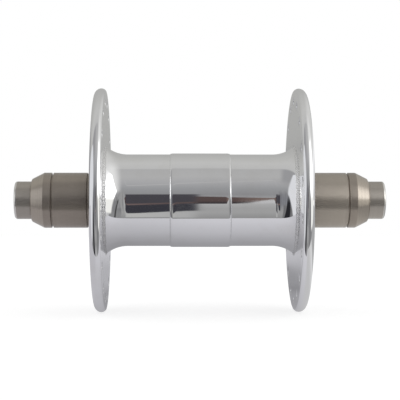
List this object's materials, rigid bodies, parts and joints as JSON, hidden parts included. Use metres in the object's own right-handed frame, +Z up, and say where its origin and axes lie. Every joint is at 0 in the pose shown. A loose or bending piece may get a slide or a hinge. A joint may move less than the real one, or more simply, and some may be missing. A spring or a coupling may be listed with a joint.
{
  "type": "high flange track hub",
  "caption": "High-flange bicycle track hub: polished shell with a raised middle band and rows of spoke holes, turning on sealed ball bearings round an axle with tapered end caps.",
  "frame": {"origin": "middle of the hub, on the axle's centre line and midway between the two flanges", "axes": "+X along the axle towards the right end in the picture, +Y away from the picture's camera, +Z up"},
  "size_m": [0.1098, 0.0664, 0.0664],
  "materials": {
    "polished_shell": "mirror polished",
    "cap_metal": "satin turned",
    "axle_steel": "ground",
    "bearing_steel": "ground",
    "ball_steel": "polished",
    "cage_steel": "pressed sheet",
    "seal_rubber": "matt"
  },
  "bodies": {
    "axle": {"axle": "axle_steel", "left_inner_ring": "bearing_steel", "left_sleeve": "cap_metal", "left_end_cap": "cap_metal", "right_inner_ring": "bearing_steel", "right_sleeve": "cap_metal", "right_end_cap": "cap_metal"},
    "shell": {"centre_barrel": "polished_shell", "left_flange": "polished_shell", "right_flange": "polished_shell", "left_outer_ring": "bearing_steel", "left_seal_inboard": "seal_rubber", "left_seal_outboard": "seal_rubber", "right_outer_ring": "bearing_steel", "right_seal_inboard": "seal_rubber", "right_seal_outboard": "seal_rubber"},
    "left_ball_set": {"left_balls": "ball_steel", "left_cage_inboard": "cage_steel", "left_cage_outboard": "cage_steel", "left_cage_rivets": "cage_steel"},
    "right_ball_set": {"right_balls": "ball_steel", "right_cage_inboard": "cage_steel", "right_cage_outboard": "cage_steel", "right_cage_rivets": "cage_steel"}
  },
  "joints": [
    {"name": "hub_spin", "type": "hinge", "parent": "axle", "child": "shell", "pos_m": [0, 0, 0], "axis": [1, 0, 0], "continuous": true},
    {"name": "left_cage_spin", "type": "hinge", "parent": "axle", "child": "left_ball_set", "pos_m": [-0.0287, 0, 0], "axis": [1, 0, 0], "continuous": true},
    {"name": "right_cage_spin", "type": "hinge", "parent": "axle", "child": "right_ball_set", "pos_m": [0.0287, 0, 0], "axis": [1, 0, 0], "continuous": true}
  ],
  "couplings": [
    {"joint": "left_cage_spin", "follows": "hub_spin", "ratio": 0.59722},
    {"joint": "right_cage_spin", "follows": "hub_spin", "ratio": 0.59722}
  ]
}
